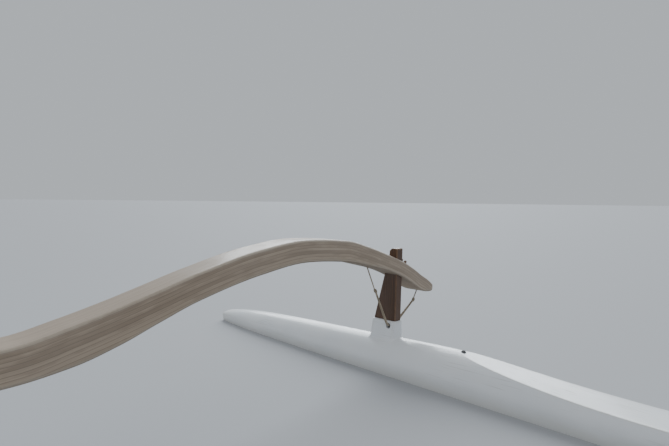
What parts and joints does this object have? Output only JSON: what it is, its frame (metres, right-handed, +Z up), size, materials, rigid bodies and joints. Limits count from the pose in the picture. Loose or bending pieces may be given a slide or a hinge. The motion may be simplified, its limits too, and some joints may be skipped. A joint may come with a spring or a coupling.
{
  "type": "four-seat outrigger canoe, afloat",
  "caption": "Slender open paddling canoe with crowned end decks, bench seats, and a float carried to port on two curved lashed wooden booms with posts and rope stays.",
  "frame": {"origin": "on the hull's centreline, amidships, at the waterline on which it floats", "axes": "+X to the bow, +Y to port, which is the float's side, +Z up"},
  "size_m": [10, 2.634, 0.775],
  "materials": {
    "hull_white": "white gelcoat with light salt haze and scuffs",
    "deck_white": "white gelcoat, satin",
    "varnished_wood": "wood under weathered gloss varnish",
    "weathered_wood": "laminated wood, greyed by sun and salt, with little of its varnish left",
    "post_wood": "dark oiled hardwood",
    "seat_wood": "clear-finished pale wood",
    "rope": "laid rope, dulled by salt",
    "black_plastic": "moulded black plastic"
  },
  "bodies": {
    "root": {"hull_shell": "hull_white", "bow_deck": "deck_white", "stern_deck": "deck_white", "bow_splashboard": "varnished_wood", "stern_splashboard": "varnished_wood", "gunwale_port": "varnished_wood", "gunwale_starboard": "varnished_wood", "seat_1": "seat_wood", "seat_2": "seat_wood", "seat_3": "seat_wood", "seat_4": "seat_wood", "seat_rail_port": "seat_wood", "seat_rail_starboard": "seat_wood", "spreader_front": "seat_wood", "spreader_rear": "seat_wood", "lashing_front_port": "rope", "lashing_front_starboard": "rope", "lashing_rear_port": "rope", "lashing_rear_starboard": "rope", "boom_front": "weathered_wood", "boom_rear": "weathered_wood", "post_front": "post_wood", "post_rear": "post_wood", "wedge_front": "post_wood", "wedge_rear": "post_wood", "pedestal_front": "hull_white", "pedestal_rear": "hull_white", "stay_front_inboard": "rope", "stay_front_outboard": "rope", "stay_rear_inboard": "rope", "stay_rear_outboard": "rope", "float": "hull_white", "float_plug": "black_plastic", "hatch_bow": "black_plastic", "hatch_stern": "black_plastic"}
  },
  "joints": []
}
